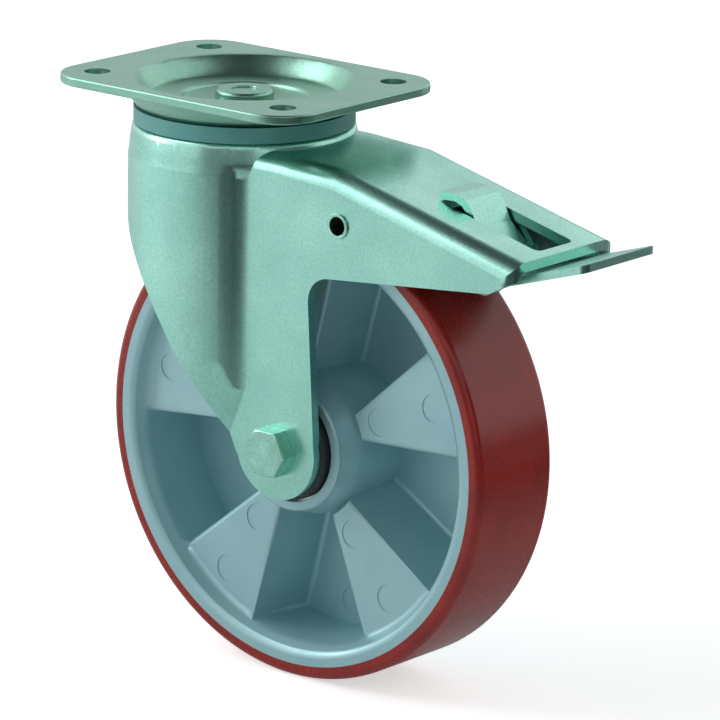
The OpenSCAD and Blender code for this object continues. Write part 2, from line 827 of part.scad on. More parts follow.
// Trims the panels' inner ends to a slope that falls to the hub's flank
module panel_limit_2d() {
    half = [[panel_out_r + 2, panel_y], [panel_in_r, panel_y], [flank_r - 0.6, panel_y - panel_end_drop - 1.05]];
    polygon(concat(half, flipped(half)));
}
module panel_ring_2d() {
    difference() {
        circle(r = panel_out_r + 1);
        circle(r = flank_r - 1);
    }
}
// Wedges of the raised panels, wider by the given amount on each side
module panels_2d(wider) {
    far = panel_out_r + 2;
    near = flank_r - 2;
    y_in = (near - panel_apex) * tan(panel_half) + wider / cos(panel_half);
    y_out = (far - panel_apex) * tan(panel_half) + wider / cos(panel_half);
    intersection() {
        for (i = [0:panels_n - 1])
            rotate([0, 0, panel_turn + i * panel_step])
                polygon([[near, -y_in], [far, -y_out], [far, y_out], [near, y_in]]);
        panel_ring_2d();
    }
}
// Leaning walls from the front panels' sides back to the pocket floors
module panel_walls() {
    intersection() {
        translate([0, 0, -panel_y])
            linear_extrude(height = 2 * panel_y)
                panel_ring_2d();
        for (i = [0:panels_n - 1], side = [-1, 1])
            rotate([0, 0, panel_turn + i * panel_step])
                translate([panel_apex, 0, 0])
                    rotate([0, 0, side * panel_half])
                        translate([0, 0, panel_y])
                            rotate([side * wall_draft, 0, 0])
                                translate([0, (-side - 1) * cast_wall / 2, -3 * panel_y])
                                    cube([wheel_r, cast_wall, 4 * panel_y]);
    }
}
module tread() {
    sharp_y = wheel_y - tread_edge_r;
    half = concat([[rim_r, wheel_y]], arc([wheel_r - tread_edge_r, sharp_y], tread_edge_r, 90, 0, 8));
    color("#6b2a2e")
        on_axle()
            rotate_extrude($fn = 144)
                polygon(concat(half, flipped(half)));
}

// Bearings, made for the near side and mirrored for the far side
module at_bearing() {
    on_axle()
        translate([0, 0, bearing_y + bearing_w / 2])
            children();
}
module race(in_r, out_r) {
    difference() {
        rotate_extrude()
            translate([in_r, -bearing_w / 2])
                square([out_r - in_r, bearing_w]);
        rotate_extrude()
            translate([race_mid_r, 0])
                circle(d = bearing_ball_d + 2 * run_gap, $fn = 48);
    }
}
module outer_race() {
    color("#b7bfc1")
        at_bearing()
            race(bearing_d / 2 - race_t, bearing_d / 2);
}
module inner_race() {
    color("#b7bfc1")
        at_bearing()
            race(bearing_bore / 2, bearing_bore / 2 + race_t);
}
module bearing_balls() {
    color("#c9ced0")
        at_bearing()
            ball_ring(race_mid_r, 0, bearing_ball_d, bearing_balls_n);
}
module bearing_shield() {
    in_r = bearing_bore / 2 + race_t + loose_gap;
    out_r = bearing_d / 2 - race_t;
    color("#8c979a")
        at_bearing()
            for (side = [-1, 1])
                translate([0, 0, side * (bearing_w / 2 - 0.4 - shield_t / 2)])
                    rotate_extrude()
                        translate([in_r, -shield_t / 2])
                            square([out_r - in_r, shield_t]);
}
module thread_guard() {
    tube_r = bearing_bore / 2 + slip_gap;
    boss_r = bearing_bore / 2 + race_t - loose_gap;
    color("#2b3234")
        on_axle()
            rotate_extrude()
                polygon([
                    [tube_r, wheel_y], [boss_r, wheel_y], [boss_r, wheel_y + loose_gap], [guard_r, wheel_y + loose_gap],
                    [guard_r, wall_y - 1], [guard_r - 1, wall_y], [tube_r, wall_y]
                ]);
}
module far_side() {
    mirror([0, 1, 0])
        children();
}
module outer_race_near() {
    outer_race();
}
module outer_race_far() {
    far_side()
        outer_race();
}
module inner_race_near() {
    inner_race();
}
module inner_race_far() {
    far_side()
        inner_race();
}
module bearing_balls_near() {
    bearing_balls();
}
module bearing_balls_far() {
    far_side()
        bearing_balls();
}
module bearing_shield_near() {
    bearing_shield();
}
module bearing_shield_far() {
    far_side()
        bearing_shield();
}
module thread_guard_near() {
    thread_guard();
}
module thread_guard_far() {
    far_side()
        thread_guard();
}
module bearing_spacer() {
    color("#8a9a98")
        on_axle()
            rotate_extrude()
                translate([bearing_bore / 2 + slip_gap, -bearing_y])
                    square([race_t - loose_gap, 2 * bearing_y]);
}
module axle_tube() {
    color("#8a9a98")
        on_axle()
            rotate_extrude()
                translate([bolt_r + slip_gap, -wall_y])
                    square([bearing_bore / 2 - bolt_r - slip_gap, 2 * wall_y]);
}
module axle_bolt() {
    end_y = side_y + washer_t + axle_nut_h + bolt_tip;
    color("#9ccfbf")
        on_axle() {
            intersection() {
                translate([0, 0, side_y])
                    linear_extrude(height = bolt_head_h)
                        hex_2d(hex_af);
                rotate_extrude()
                    polygon([
                        [0, side_y - past], [hex_af, side_y - past], [hex_af, side_y + bolt_head_h - 4],
                        [hex_af / 2 - 0.4, side_y + bolt_head_h + 0.05], [0, side_y + bolt_head_h + 0.05]
                    ]);
            }
            translate([0, 0, -end_y])
                cylinder(r = bolt_r, h = end_y + side_y + 1);
        }
}
module axle_washer() {
    color("#9ccfbf")
        on_axle()
            rotate_extrude()
                translate([bolt_r + slip_gap, -side_y - washer_t])
                    square([bolt_r, washer_t]);
}
module axle_nut() {
    color("#9ccfbf")
        on_axle()
            difference() {
                union() {
                    translate([0, 0, -side_y - washer_t - axle_nut_h + 3])
                        linear_extrude(height = axle_nut_h - 3)
                            hex_2d(hex_af);
                    translate([0, 0, -side_y - washer_t - axle_nut_h])
                        cylinder(d = hex_af - 2, h = 4);
                }
                translate([0, 0, -2 * side_y])
                    cylinder(r = bolt_r + slip_gap, h = 2 * side_y);
            }
}

top_plate();
kingpin();
kingpin_sleeve();
upper_balls();
lower_balls();
lock_ring();
kingpin_washer();
kingpin_nut();
swivel_seal();
fork();
pivot_rivets();
brake_arm();
brake_pad();
pad_rivets();
return_spring();
pedal_pin();
brake_pedal();
wheel_centre();
tread();
outer_race_near();
outer_race_far();
inner_race_near();
inner_race_far();
bearing_balls_near();
bearing_balls_far();
bearing_shield_near();
bearing_shield_far();
bearing_spacer();
axle_tube();
thread_guard_near();
thread_guard_far();
axle_bolt();
axle_washer();
axle_nut();
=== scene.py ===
"""Looks of the heavy swivel castor: plated fork and plate, cast wheel, polyurethane tread."""

import json
import math

import bmesh
import bpy
from bpy.props import FloatProperty, FloatVectorProperty, IntProperty, PointerProperty, StringProperty
from mathutils import Euler, Matrix, Vector

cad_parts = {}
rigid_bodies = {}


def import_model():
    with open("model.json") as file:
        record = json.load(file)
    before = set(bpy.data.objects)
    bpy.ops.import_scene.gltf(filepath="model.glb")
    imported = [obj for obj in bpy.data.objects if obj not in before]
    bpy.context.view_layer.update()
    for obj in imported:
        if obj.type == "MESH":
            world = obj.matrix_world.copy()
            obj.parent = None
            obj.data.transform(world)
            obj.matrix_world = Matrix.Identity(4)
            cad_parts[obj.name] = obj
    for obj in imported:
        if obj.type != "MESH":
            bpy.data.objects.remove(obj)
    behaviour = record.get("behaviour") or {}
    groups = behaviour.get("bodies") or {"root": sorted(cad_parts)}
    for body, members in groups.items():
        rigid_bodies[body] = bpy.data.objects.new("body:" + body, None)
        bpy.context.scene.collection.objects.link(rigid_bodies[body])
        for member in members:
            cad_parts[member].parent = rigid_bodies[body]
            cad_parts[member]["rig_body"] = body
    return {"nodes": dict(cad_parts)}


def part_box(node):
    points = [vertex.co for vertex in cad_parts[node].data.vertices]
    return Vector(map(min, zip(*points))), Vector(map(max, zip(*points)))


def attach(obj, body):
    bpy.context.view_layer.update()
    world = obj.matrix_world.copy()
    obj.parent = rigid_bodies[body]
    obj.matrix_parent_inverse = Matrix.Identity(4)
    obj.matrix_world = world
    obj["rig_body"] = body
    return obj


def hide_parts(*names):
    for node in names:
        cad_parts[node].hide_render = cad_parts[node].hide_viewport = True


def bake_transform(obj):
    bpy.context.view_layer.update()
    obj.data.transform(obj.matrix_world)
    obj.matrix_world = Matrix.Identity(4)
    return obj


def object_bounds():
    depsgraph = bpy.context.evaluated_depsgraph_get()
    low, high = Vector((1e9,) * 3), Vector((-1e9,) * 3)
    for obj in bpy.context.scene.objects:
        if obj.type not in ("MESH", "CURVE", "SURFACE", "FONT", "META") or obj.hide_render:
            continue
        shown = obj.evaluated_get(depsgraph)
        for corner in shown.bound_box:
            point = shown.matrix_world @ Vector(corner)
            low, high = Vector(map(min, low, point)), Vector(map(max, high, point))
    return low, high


bl_info = {
    "name": "Swivel castor",
    "version": (1, 0, 0),
    "blender": (4, 5, 0),
    "location": "View3D > Sidebar > Castor",
    "description": "Dresses the packed swivel castor: soft pressed edges, cast wheel, tread and materials",
    "category": "Object",
}

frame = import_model()
CAD_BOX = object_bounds()
NODES = frame["nodes"]
MM = 0.001

# In a copy of a CAD node, points closer than MERGE are one, and faces that bend less than FLAT are joined
MERGE = 0.002 * MM
FLAT = math.radians(0.6)
# Points of a spun piece closer than this are one, which closes its seam
SEAM = 0.01 * MM

# Edges that are rounded on pressed sheet: least bend in degrees and least length in millimetres
SHEARED_BEND = 50
SHEARED_LENGTH = 1.5
# Edges that are broken on turned and headed small parts: least bend in degrees
TURNED_BEND = 25
# Bends of more than this many degrees stay crisp when the rest is smoothed
CRISP_CAST = 40
CRISP_TREAD = 30
CRISP_SMALL = 35
# How much a wide face pulls the shading of its edges towards its own, from 1 to 100
FACE_PULL = 80

# Edges of the casting that get the fillet: least bend in degrees, and in millimetres the least length
# and the distances from the axle. Past FAR_SIDE along the axle, those more than FAR_RIM from it lie too
# close to each other for a fillet.
CAST_BEND = 28
CAST_LENGTH = 4
CAST_REACH = (35, 93)
FAR_SIDE = 11
FAR_RIM = 78

# Size in millimetres of the lumps in each finish. Specks, peel and sand are drawn coarser than the real
# ones, which are too fine to show in the render.
SPECKS = 1.1
PEEL = 1.6
SAND = 0.8
CAST_CLOUDS = 30
TREAD_CLOUDS = 22
TREAD_SCUFFS = 3.0
NYLON_GRAIN = 1.2
NYLON_CLOUDS = 15
STEEL_CLOUDS = 8
RUBBER_GRAIN = 1.0

# Cards that stand round the stage: name, bearing from +X towards +Y, rise, distance, size and brightness
CARDS = (
    ("card_front", -66, 10, 2.5, (2.7, 1.4), 0.28),
    ("card_right", 2, 8, 2.0, (1.7, 1.5), 0.05),
    ("card_high_front", -50, 56, 1.6, (2.0, 0.9), 0.04),
    ("card_overhead", 0, 90, 1.6, (1.5, 1.5), 0.04),
    ("card_high_back", 130, 57, 1.6, (1.9, 0.55), 0.12),
    ("card_low_back", 131, 15, 2.2, (2.2, 0.6), 0.60),
)
# What the cards and lamps point at: the middle of the castor
AIM = Vector((0.05, 0, -0.09))
# Two lamps on the left: place and size
LEFT_LAMP = ((-1.13, -0.77, 0.3), (0.4, 0.3))
TOP_LAMP = ((-0.88, -0.6, 0.86), (1.1, 0.6))

# The floor's side and its gap under the wheel, in metres
FLOOR_SIDE = 12
FLOOR_GAP = 0.0002
# The floor's own glow to the camera, which takes it to white, and in mirrored light
FLOOR_SEEN = 0.6
FLOOR_MIRRORED = 0.05
# Far parts of the floor darken to this level in the metal's reflections. Bearings are from +X towards +Y,
# and a pair gives the metres along the bearing where the dark starts and is full.
FLOOR_DARK = 0.04
DARK_FRONT = -18
DARK_FRONT_EDGE = (0.3, 0.5)
DARK_BACK = 46
DARK_BACK_EDGE = (0.2, 0.5)
# Behind, the dark is a band that ends at about a metre, so the tread's upper half mirrors pale floor
DARK_BACK_END = 1.06

# The camera's sensor in millimetres, and the nearest and farthest that it sees in metres
SENSOR = 36
CLIP = (0.05, 30)

MATERIALS = {}


class CastorSizes(bpy.types.PropertyGroup):
    """Sizes that the CAD leaves to the looks"""

    sheet_edge: FloatProperty(
        name="Sheet edge",
        description="Rounding of the sheared edges of pressed sheet",
        default=0.8 * MM,
        unit="LENGTH",
    )
    cast_fillet: FloatProperty(
        name="Cast fillet",
        description="Rounding of the wheel centre's cast edges",
        default=2.0 * MM,
        unit="LENGTH",
    )
    turned_edge: FloatProperty(
        name="Turned edge",
        description="Rounding of turned and headed small parts",
        default=0.35 * MM,
        unit="LENGTH",
    )
    tread_edge: FloatProperty(
        name="Tread edge",
        description="Rounding of the tread's two rims",
        default=3.4 * MM,
        unit="LENGTH",
    )
    lathe_steps: IntProperty(name="Lathe steps", description="Steps round a turned piece", default=192)


class CastorColours(bpy.types.PropertyGroup):
    """Colours, as sRGB hex"""

    zinc: StringProperty(name="Zinc", description="Bright plating on pressed steel", default="#AEE8DA")
    zinc_dull: StringProperty(name="Dull zinc", description="Clouds in the plating", default="#9EDACC")
    zinc_grain: StringProperty(name="Zinc grain", description="Greyer grain in the zinc", default="#6C908C")
    zinc_speck: StringProperty(name="Zinc specks", description="Dark specks in the zinc", default="#4E6E66")
    plate_zinc: StringProperty(name="Plate zinc", description="Greyer plating", default="#98CAB6")
    plate_dull: StringProperty(name="Dull plate zinc", description="Clouds on the plate", default="#90C2B0")
    cast: StringProperty(name="Casting", description="Bare die-cast aluminium", default="#A8D0D6")
    cast_dull: StringProperty(name="Dull casting", description="Clouds on the casting", default="#9FC8D0")
    tread: StringProperty(name="Tread", description="Red-brown polyurethane", default="#A2241C")
    tread_deep: StringProperty(name="Deep tread", description="Clouds in the polyurethane", default="#8C1E18")
    seal: StringProperty(name="Seal", description="Moulded ring under the plate", default="#62A8A4")
    guard: StringProperty(name="Guard", description="Moulded thread guards", default="#23282A")
    steel: StringProperty(name="Steel", description="Plain steel inside the castor", default="#8A9496")
    ground_steel: StringProperty(name="Ground steel", description="Races and balls", default="#B8BFC1")
    spring_steel: StringProperty(name="Spring steel", description="The brake's leaf", default="#9AA0A4")
    pad: StringProperty(name="Pad", description="Rubber of the brake pad", default="#34383A")
    brass: StringProperty(name="Brass", description="Rivets of the brake pad", default="#B49A5E")
    floor: StringProperty(name="Floor", description="Pale studio floor", default="#F4F5F5")
    card: StringProperty(name="Cards", description="Cards round the stage", default="#F4FAFA")
    sky: StringProperty(name="Soft light", description="Tint of the light from all round", default="#F2F6F6")


class CastorView(bpy.types.PropertyGroup):
    """Camera, lamps and the light from all round"""

    camera_place: FloatVectorProperty(
        name="Camera place",
        description="Where the camera stands",
        default=(1.39864, -1.60244, 0.45525),
        unit="LENGTH",
    )
    yaw: FloatProperty(
        name="Yaw", description="Turn of the view to the left", default=math.radians(39.78), subtype="ANGLE"
    )
    pitch: FloatProperty(
        name="Pitch", description="Fall of the view", default=math.radians(15.17), subtype="ANGLE"
    )
    roll: FloatProperty(
        name="Roll", description="Tilt of the picture", default=math.radians(0.88), subtype="ANGLE"
    )
    lens: FloatProperty(name="Lens", description="Focal length", default=261.5, unit="CAMERA")
    key_power: FloatProperty(name="Key", description="Power of the left lamp", default=3.4, unit="POWER")
    top_power: FloatProperty(name="Top", description="Power of the high lamp", default=4.0, unit="POWER")
    soft_light: FloatProperty(name="Soft light", description="Level of the light from all round", default=0.8)


def linear(hex_colour):
    """An sRGB hex colour as linear RGBA."""
    values = [int(hex_colour[i : i + 2], 16) / 255 for i in (1, 3, 5)]
    return [c / 12.92 if c <= 0.04045 else ((c + 0.055) / 1.055) ** 2.4 for c in values] + [1.0]


def add(tree, kind, inputs=None, **settings):
    """Adds a shader node, sets its properties and sockets, and links a socket given an output or a node."""
    made = tree.nodes.new("ShaderNode" + kind)
    for name, value in settings.items():
        setattr(made, name, value)
    for name, value in (inputs or {}).items():
        if isinstance(value, bpy.types.Node):
            value = value.outputs[0]
        if isinstance(value, bpy.types.NodeSocket):
            tree.links.new(value, made.inputs[name])
        else:
            made.inputs[name].default_value = value
    return made


def new_material(name):
    """An empty node tree of a new material, which MATERIALS keeps under its name."""
    made = bpy.data.materials.new(name)
    made.use_nodes = True
    made.node_tree.nodes.clear()
    MATERIALS[name] = made
    return made.node_tree


def only(obj):
    """Selects this object alone and makes it active."""
    bpy.ops.object.select_all(action="DESELECT")
    obj.select_set(True)
    bpy.context.view_layer.objects.active = obj


def apply_modifiers(obj):
    """Applies the object's modifiers in order."""
    only(obj)
    for modifier in list(obj.modifiers):
        bpy.ops.object.modifier_apply(modifier=modifier.name)


def copy_of(node, name):
    """A merged copy of a CAD node's mesh with flat faces joined, as a new object at the origin."""
    only(NODES[node])
    bpy.ops.object.duplicate()
    made = bpy.context.view_layer.objects.active
    made.data = made.data.copy()
    for key in list(made.keys()):
        del made[key]
    made.parent = None
    made.matrix_world = Matrix.Identity(4)
    made.name = made.data.name = name
    bpy.ops.object.mode_set(mode="EDIT")
    bpy.ops.mesh.select_all(action="SELECT")
    bpy.ops.mesh.customdata_custom_splitnormals_clear()
    bpy.ops.mesh.remove_doubles(threshold=MERGE)
    bpy.ops.mesh.dissolve_limited(angle_limit=FLAT, delimit=set())
    bpy.ops.object.mode_set(mode="OBJECT")
    return made


def round_edges(obj, width, picks, segments=3, clamp=True):
    """Bevels the edges that picks(middle, bend, length) says yes to, in millimetres and signed degrees."""
    mesh = bmesh.new()
    mesh.from_mesh(obj.data)
    layer = mesh.edges.layers.float.new("bevel_weight_edge")
    for edge in mesh.edges:
        if len(edge.link_faces) == 2:
            middle = (edge.verts[0].co + edge.verts[1].co) / 2 / MM
            bend = math.degrees(edge.calc_face_angle_signed(0.0))
            edge[layer] = float(picks(middle, bend, edge.calc_length() / MM))
    mesh.to_mesh(obj.data)
    mesh.free()
    bevel = obj.modifiers.new("Round", "BEVEL")
    bevel.limit_method = "WEIGHT"
    bevel.width = width
    bevel.segments = segments
    bevel.use_clamp_overlap = clamp
    bevel.harden_normals = False
    apply_modifiers(obj)


def smooth(obj, degrees):
    """Smooths the bends below this angle and keeps the flats flat."""
    only(obj)
    bpy.ops.object.shade_smooth_by_angle(angle=math.radians(degrees))
    fair = obj.modifiers.new("Fair", "WEIGHTED_NORMAL")
    fair.keep_sharp = True
    fair.weight = FACE_PULL
    apply_modifiers(obj)


def lathe(name, outline, centre, steps):
    """A closed outline of (radius, y) in millimetres, spun about the Y axis through centre."""
    bpy.ops.object.select_all(action="DESELECT")
    bpy.ops.mesh.primitive_circle_add(vertices=len(outline), radius=0.01, fill_type="NOTHING")
    made = bpy.context.view_layer.objects.active
    made.name = made.data.name = name
    for vertex, (radius, y) in zip(made.data.vertices, outline):
        vertex.co = Vector((centre.x + radius * MM, y * MM, centre.z))
    made.matrix_world = Matrix.Identity(4)
    bpy.ops.object.mode_set(mode="EDIT")
    bpy.ops.mesh.select_all(action="SELECT")
    bpy.ops.mesh.spin(steps=steps, angle=2 * math.pi, center=centre, axis=(0, 1, 0))
    bpy.ops.mesh.select_all(action="SELECT")
    bpy.ops.mesh.remove_doubles(threshold=SEAM)
    bpy.ops.mesh.normals_make_consistent(inside=False)
    bpy.ops.object.mode_set(mode="OBJECT")
    return made


def dress(obj, finish):
    """Gives an object its material."""
    obj.data.materials.clear()
    obj.data.materials.append(MATERIALS[finish])


def stand_for(obj, node, finish):
    """The piece takes the node's place and body, and its finish."""
    dress(obj, finish)
    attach(obj, NODES[node]["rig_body"])
    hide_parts(node)


def plated(name, colours, bright, dull, cloud_mm, rough, grain=0.5):
    """Zinc electroplate on steel: satin mirror with faint clouds, orange-peel grain and a few specks."""
    tree = new_material(name)
    place = add(tree, "TexCoord").outputs["Object"]
    clouds = add(
        tree,
        "TexNoise",
        {"Vector": place, "Scale": 1 / (cloud_mm * MM), "Detail": 4.0, "Roughness": 0.55},
    )
    specks = add(
        tree, "TexNoise", {"Vector": place, "Scale": 1 / (SPECKS * MM), "Detail": 2.0, "Roughness": 0.6}
    )
    peel = add(tree, "TexNoise", {"Vector": place, "Scale": 1 / (PEEL * MM), "Detail": 2.0, "Roughness": 0.5})

    dulled = add(tree, "MapRange", {"Value": clouds, "From Min": 0.36, "From Max": 0.68})
    cloudy = add(tree, "MixRGB", {"Fac": dulled, "Color1": linear(bright), "Color2": linear(dull)})
    greyed = add(tree, "MapRange", {"Value": specks, "From Min": 0.35, "From Max": 0.65, "To Max": 0.22})
    grained = add(tree, "MixRGB", {"Fac": greyed, "Color1": cloudy, "Color2": linear(colours.zinc_grain)})
    spotted = add(tree, "MapRange", {"Value": specks, "From Min": 0.70, "From Max": 0.76, "To Max": 0.15})
    colour = add(tree, "MixRGB", {"Fac": spotted, "Color1": grained, "Color2": linear(colours.zinc_speck)})
    roughness = add(
        tree,
        "MapRange",
        {"Value": clouds, "From Min": 0.3, "From Max": 0.7, "To Min": rough - 0.03, "To Max": rough + 0.05},
    )
    bumps = add(tree, "Bump", {"Height": peel, "Strength": grain, "Distance": 0.06 * MM})
    shader = add(
        tree,
        "BsdfPrincipled",
        {"Base Color": colour, "Metallic": 1.0, "Roughness": roughness, "Normal": bumps},
    )
    add(tree, "OutputMaterial", {"Surface": shader})


def die_cast(colours):
    """Die-cast aluminium, blasted: a dull grey sheen with a fine sandy skin."""
    tree = new_material("die_cast_aluminium")
    place = add(tree, "TexCoord").outputs["Object"]
    clouds = add(
        tree,
        "TexNoise",
        {"Vector": place, "Scale": 1 / (CAST_CLOUDS * MM), "Detail": 4.0, "Roughness": 0.55},
    )
    sand = add(
        tree, "TexNoise", {"Vector": place, "Scale": 1 / (SAND * MM), "Detail": 2.0, "Roughness": 0.55}
    )

    dulled = add(tree, "MapRange", {"Value": clouds, "From Min": 0.35, "From Max": 0.65})
    colour = add(
        tree,
        "MixRGB",
        {"Fac": dulled, "Color1": linear(colours.cast), "Color2": linear(colours.cast_dull)},
    )
    roughness = add(
        tree,
        "MapRange",
        {"Value": clouds, "From Min": 0.3, "From Max": 0.7, "To Min": 0.36, "To Max": 0.44},
    )
    bumps = add(tree, "Bump", {"Height": sand, "Strength": 0.3, "Distance": 0.06 * MM})
    shader = add(
        tree,
        "BsdfPrincipled",
        {"Base Color": colour, "Metallic": 0.4, "Roughness": roughness, "IOR": 1.45, "Normal": bumps},
    )
    add(tree, "OutputMaterial", {"Surface": shader})


def resin_tyre(colours):
    """Cast polyurethane: deep red-brown, glossy and faintly cloudy, with scuffs along the way it rolls."""
    tree = new_material("cast_polyurethane")
    place = add(tree, "TexCoord").outputs["Object"]
    drawn_out = add(tree, "Mapping", {"Vector": place, "Scale": (1, 6, 1)})
    clouds = add(
        tree,
        "TexNoise",
        {"Vector": place, "Scale": 1 / (TREAD_CLOUDS * MM), "Detail": 3.0, "Roughness": 0.55},
    )
    scuffs = add(
        tree,
        "TexNoise",
        {"Vector": drawn_out, "Scale": 1 / (TREAD_SCUFFS * MM), "Detail": 4.0, "Roughness": 0.55},
    )

    deepened = add(tree, "MapRange", {"Value": clouds, "From Min": 0.35, "From Max": 0.7})
    colour = add(
        tree,
        "MixRGB",
        {"Fac": deepened, "Color1": linear(colours.tread), "Color2": linear(colours.tread_deep)},
    )
    roughness = add(
        tree,
        "MapRange",
        {"Value": scuffs, "From Min": 0.4, "From Max": 0.75, "To Min": 0.22, "To Max": 0.34},
    )
    bumps = add(tree, "Bump", {"Height": scuffs, "Strength": 0.05, "Distance": 0.05 * MM})
    shader = add(
        tree, "BsdfPrincipled", {"Base Color": colour, "Roughness": roughness, "IOR": 1.5, "Normal": bumps}
    )
    add(tree, "OutputMaterial", {"Surface": shader})


def moulded_nylon(name, shade, rough):
    """Moulded nylon: satin skin with a faint grain and hardly any clouds."""
    tree = new_material(name)
    place = add(tree, "TexCoord").outputs["Object"]
    grain = add(
        tree,
        "TexNoise",
        {"Vector": place, "Scale": 1 / (NYLON_GRAIN * MM), "Detail": 2.0, "Roughness": 0.55},
    )
    clouds = add(
        tree,
        "TexNoise",
        {"Vector": place, "Scale": 1 / (NYLON_CLOUDS * MM), "Detail": 3.0, "Roughness": 0.55},
    )

    value = add(
        tree,
        "MapRange",
        {"Value": clouds, "From Min": 0.3, "From Max": 0.7, "To Min": 0.92, "To Max": 1.08},
    )
    colour = add(tree, "HueSaturation", {"Color": linear(shade), "Value": value})
    bumps = add(tree, "Bump", {"Height": grain, "Strength": 0.1, "Distance": 0.05 * MM})
    shader = add(
        tree, "BsdfPrincipled", {"Base Color": colour, "Roughness": rough, "IOR": 1.53, "Normal": bumps}
    )
    add(tree, "OutputMaterial", {"Surface": shader})


def bare_metal(name, shade, rough):
    """Unplated metal inside the castor: even and darker than the plating, with a cloudy gloss."""
    tree = new_material(name)
    place = add(tree, "TexCoord").outputs["Object"]
    clouds = add(
        tree,
        "TexNoise",
        {"Vector": place, "Scale": 1 / (STEEL_CLOUDS * MM), "Detail": 3.0, "Roughness": 0.55},
    )

    value = add(
        tree,
        "MapRange",
        {"Value": clouds, "From Min": 0.3, "From Max": 0.7, "To Min": 0.9, "To Max": 1.05},
    )
    colour = add(tree, "HueSaturation", {"Color": linear(shade), "Value": value})
    roughness = add(
        tree,
        "MapRange",
        {"Value": clouds, "From Min": 0.3, "From Max": 0.7, "To Min": rough, "To Max": rough + 0.08},
    )
    shader = add(tree, "BsdfPrincipled", {"Base Color": colour, "Metallic": 1.0, "Roughness": roughness})
    add(tree, "OutputMaterial", {"Surface": shader})


def moulded_rubber(colours):
    """Moulded rubber of the pad: dull and nearly black, with a rubbed grain."""
    tree = new_material("moulded_rubber")
    place = add(tree, "TexCoord").outputs["Object"]
    grain = add(
        tree,
        "TexNoise",
        {"Vector": place, "Scale": 1 / (RUBBER_GRAIN * MM), "Detail": 3.0, "Roughness": 0.55},
    )

    value = add(
        tree,
        "MapRange",
        {"Value": grain, "From Min": 0.3, "From Max": 0.7, "To Min": 0.85, "To Max": 1.1},
    )
    colour = add(tree, "HueSaturation", {"Color": linear(colours.pad), "Value": value})
    bumps = add(tree, "Bump", {"Height": grain, "Strength": 0.3, "Distance": 0.05 * MM})
    shader = add(
        tree, "BsdfPrincipled", {"Base Color": colour, "Roughness": 0.75, "IOR": 1.52, "Normal": bumps}
    )
    add(tree, "OutputMaterial", {"Surface": shader})


class CASTOR_OT_materials(bpy.types.Operator):
    """Makes the finishes"""

    bl_idname = "castor.materials"
    bl_label = "Finishes"

    def execute(self, context):
        colours = context.scene.castor_colours
        # Bright blue-green zinc, as pressed: the eye sees a soft mirror with faint clouds
        plated("zinc_plated_pressed_steel", colours, colours.zinc, colours.zinc_dull, 34, 0.28)
        # The plate is greyer and blunter, as thick blanked sheet is
        plated("zinc_plated_thick_plate", colours, colours.plate_zinc, colours.plate_dull, 34, 0.32)
        # Headed and turned small parts are smoother and brighter
        plated("zinc_plated_fastener", colours, colours.zinc, colours.plate_zinc, 9, 0.22, grain=0.2)
        # The wheel centre: blasted, so it is dull beside the zinc
        die_cast(colours)
        # The tread: a resin tyre, the only deep colour on the castor
        resin_tyre(colours)
        # The seal takes some of the plating's green, and the thread guards are nearly black
        moulded_nylon("moulded_nylon_seal", colours.seal, 0.42)
        moulded_nylon("moulded_nylon_guard", colours.guard, 0.5)
        # Arm, rings, sleeve and tubes
        bare_metal("mild_steel", colours.steel, 0.38)
        # Races, balls and shields are ground, so they are the brightest inside
        bare_metal("ground_bearing_steel", colours.ground_steel, 0.18)
        # Rolled spring strip, and the soft yellow rivets of the pad
        bare_metal("spring_steel", colours.spring_steel, 0.28)
        bare_metal("rivet_brass", colours.brass, 0.3)
        # The brake pad
        moulded_rubber(colours)
        return {"FINISHED"}


class CASTOR_OT_pressings(bpy.types.Operator):
    """Rounds the edges of the pressed plate, fork and pedal"""

    bl_idname = "castor.pressings"
    bl_label = "Plate, fork and pedal"

    def execute(self, context):
        width = context.scene.castor_sizes.sheet_edge

        def sheared(middle, bend, length):
            return bend > SHEARED_BEND and length > SHEARED_LENGTH

        # The close folds of the fork and the pedal leave room for a narrower edge only
        for node, name, finish, crisp, clamp in (
            ("top_plate", "plate_pressing", "zinc_plated_thick_plate", 32, False),
            ("fork", "fork_pressing", "zinc_plated_pressed_steel", 32, True),
            ("brake_pedal", "pedal_pressing", "zinc_plated_pressed_steel", 17, True),
        ):
            made = copy_of(node, name)
            round_edges(made, width, sheared, clamp=clamp)
            smooth(made, crisp)
            stand_for(made, node, finish)
        return {"FINISHED"}


